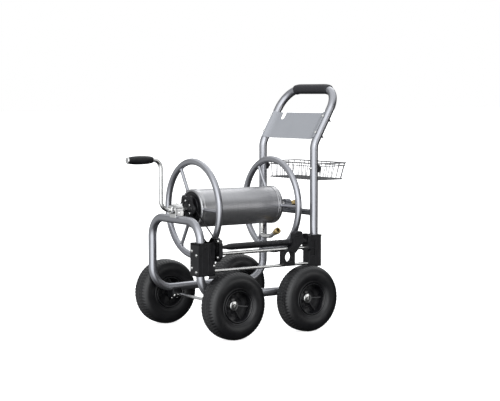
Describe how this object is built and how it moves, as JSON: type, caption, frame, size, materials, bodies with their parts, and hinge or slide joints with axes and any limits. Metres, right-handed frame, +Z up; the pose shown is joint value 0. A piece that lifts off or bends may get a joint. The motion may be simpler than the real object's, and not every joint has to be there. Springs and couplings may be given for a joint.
{
  "type": "hose reel cart",
  "caption": "Four-wheeled cart with a bent tube frame and push handle, a cranked hose drum with open ring flanges, a chain-driven level-wind hose guide and a wire basket",
  "frame": {"origin": "on the floor, under the middle of the cart's outer box", "axes": "+Z up; the reel's axle runs along X, crank at -X and push handle at +X; the hose guide is on the -Y side"},
  "size_m": [0.911, 0.5602, 0.9448],
  "materials": {
    "frame_steel": "silver-grey powder coat",
    "drum_steel": "satin brushed",
    "panel_steel": "flat grey powder coat",
    "bright_zinc": "bright zinc plate",
    "brass": "turned brass",
    "black_plastic": "moulded black",
    "black_enamel": "black enamel",
    "grip_foam": "black foam sleeve",
    "tyre": "black rubber",
    "rim_plastic": "black moulded rim",
    "basket_wire": "dark grey wire"
  },
  "bodies": {
    "frame": {"axle_cap_crank_far": "bright_zinc", "axle_cap_crank_near": "bright_zinc", "axle_cap_handle_far": "bright_zinc", "axle_cap_handle_near": "bright_zinc", "axle_crank": "bright_zinc", "axle_handle": "bright_zinc", "axle_saddle_crank_far": "black_plastic", "axle_saddle_crank_near": "black_plastic", "axle_saddle_handle_far": "black_plastic", "axle_saddle_handle_near": "black_plastic", "basket_bolt_far": "bright_zinc", "basket_bolt_near": "bright_zinc", "basket_clamp_far": "black_plastic", "basket_clamp_near": "black_plastic", "crank_bearing": "bright_zinc", "cross_bar": "black_enamel", "drive_chain": "black_enamel", "gear_case": "black_plastic", "gear_cover": "black_plastic", "guide_bar": "bright_zinc", "handle_grip": "grip_foam", "handle_tube": "frame_steel", "hoop_tube": "frame_steel", "inlet_bearing": "black_plastic", "inlet_swivel": "bright_zinc", "lower_rod": "bright_zinc", "panel_plate": "panel_steel", "right_bracket": "black_plastic", "wire_basket": "basket_wire"},
    "reel": {"drum_barrel": "drum_steel", "drum_end_crank": "drum_steel", "drum_end_inlet": "drum_steel", "flange_ring_crank": "frame_steel", "flange_ring_inlet": "frame_steel", "reel_shaft": "bright_zinc", "lobed_hub": "black_plastic", "hub_backing_disc": "black_plastic", "reel_sprocket": "bright_zinc", "crank_arm": "bright_zinc", "crank_collar": "bright_zinc", "crank_bolt": "bright_zinc", "outlet_pipe": "bright_zinc", "outlet_fitting": "brass", "grip_end_cap": "bright_zinc"},
    "grip": {"crank_grip": "black_plastic"},
    "screw": {"traverse_screw": "black_plastic", "screw_sprocket": "bright_zinc"},
    "hose_guide": {"carriage": "black_plastic"},
    "coupling": {"inlet_coupling": "brass"},
    "wheel_crank_near": {"tyre_crank_near": "tyre", "rim_crank_near": "rim_plastic"},
    "wheel_crank_far": {"tyre_crank_far": "tyre", "rim_crank_far": "rim_plastic"},
    "wheel_handle_near": {"tyre_handle_near": "tyre", "rim_handle_near": "rim_plastic"},
    "wheel_handle_far": {"tyre_handle_far": "tyre", "rim_handle_far": "rim_plastic"}
  },
  "joints": [
    {"name": "reel_spin", "type": "hinge", "parent": "frame", "child": "reel", "pos_m": [0, 0, 0.4714], "axis": [1, 0, 0], "continuous": true},
    {"name": "grip_spin", "type": "hinge", "parent": "reel", "child": "grip", "pos_m": [-0.3095, 0, 0.6614], "axis": [1, 0, 0], "continuous": true},
    {"name": "screw_spin", "type": "hinge", "parent": "frame", "child": "screw", "pos_m": [0, -0.181, 0.339], "axis": [1, 0, 0], "continuous": true},
    {"name": "guide_travel", "type": "slide", "parent": "frame", "child": "hose_guide", "axis": [1, 0, 0], "range_m": [-0.245, 0.01]},
    {"name": "coupling_spin", "type": "hinge", "parent": "frame", "child": "coupling", "pos_m": [0.3085, 0, 0.4714], "axis": [1, 0, 0], "continuous": true},
    {"name": "wheel_spin_crank_near", "type": "hinge", "parent": "frame", "child": "wheel_crank_near", "pos_m": [-0.1445, -0.2376, 0.127], "axis": [0, 1, 0], "continuous": true},
    {"name": "wheel_spin_crank_far", "type": "hinge", "parent": "frame", "child": "wheel_crank_far", "pos_m": [-0.1445, 0.2376, 0.127], "axis": [0, 1, 0], "continuous": true},
    {"name": "wheel_spin_handle_near", "type": "hinge", "parent": "frame", "child": "wheel_handle_near", "pos_m": [0.197, -0.2376, 0.127], "axis": [0, 1, 0], "continuous": true},
    {"name": "wheel_spin_handle_far", "type": "hinge", "parent": "frame", "child": "wheel_handle_far", "pos_m": [0.197, 0.2376, 0.127], "axis": [0, 1, 0], "continuous": true}
  ],
  "couplings": [
    {"joint": "screw_spin", "follows": "reel_spin", "ratio": 1.2}
  ]
}
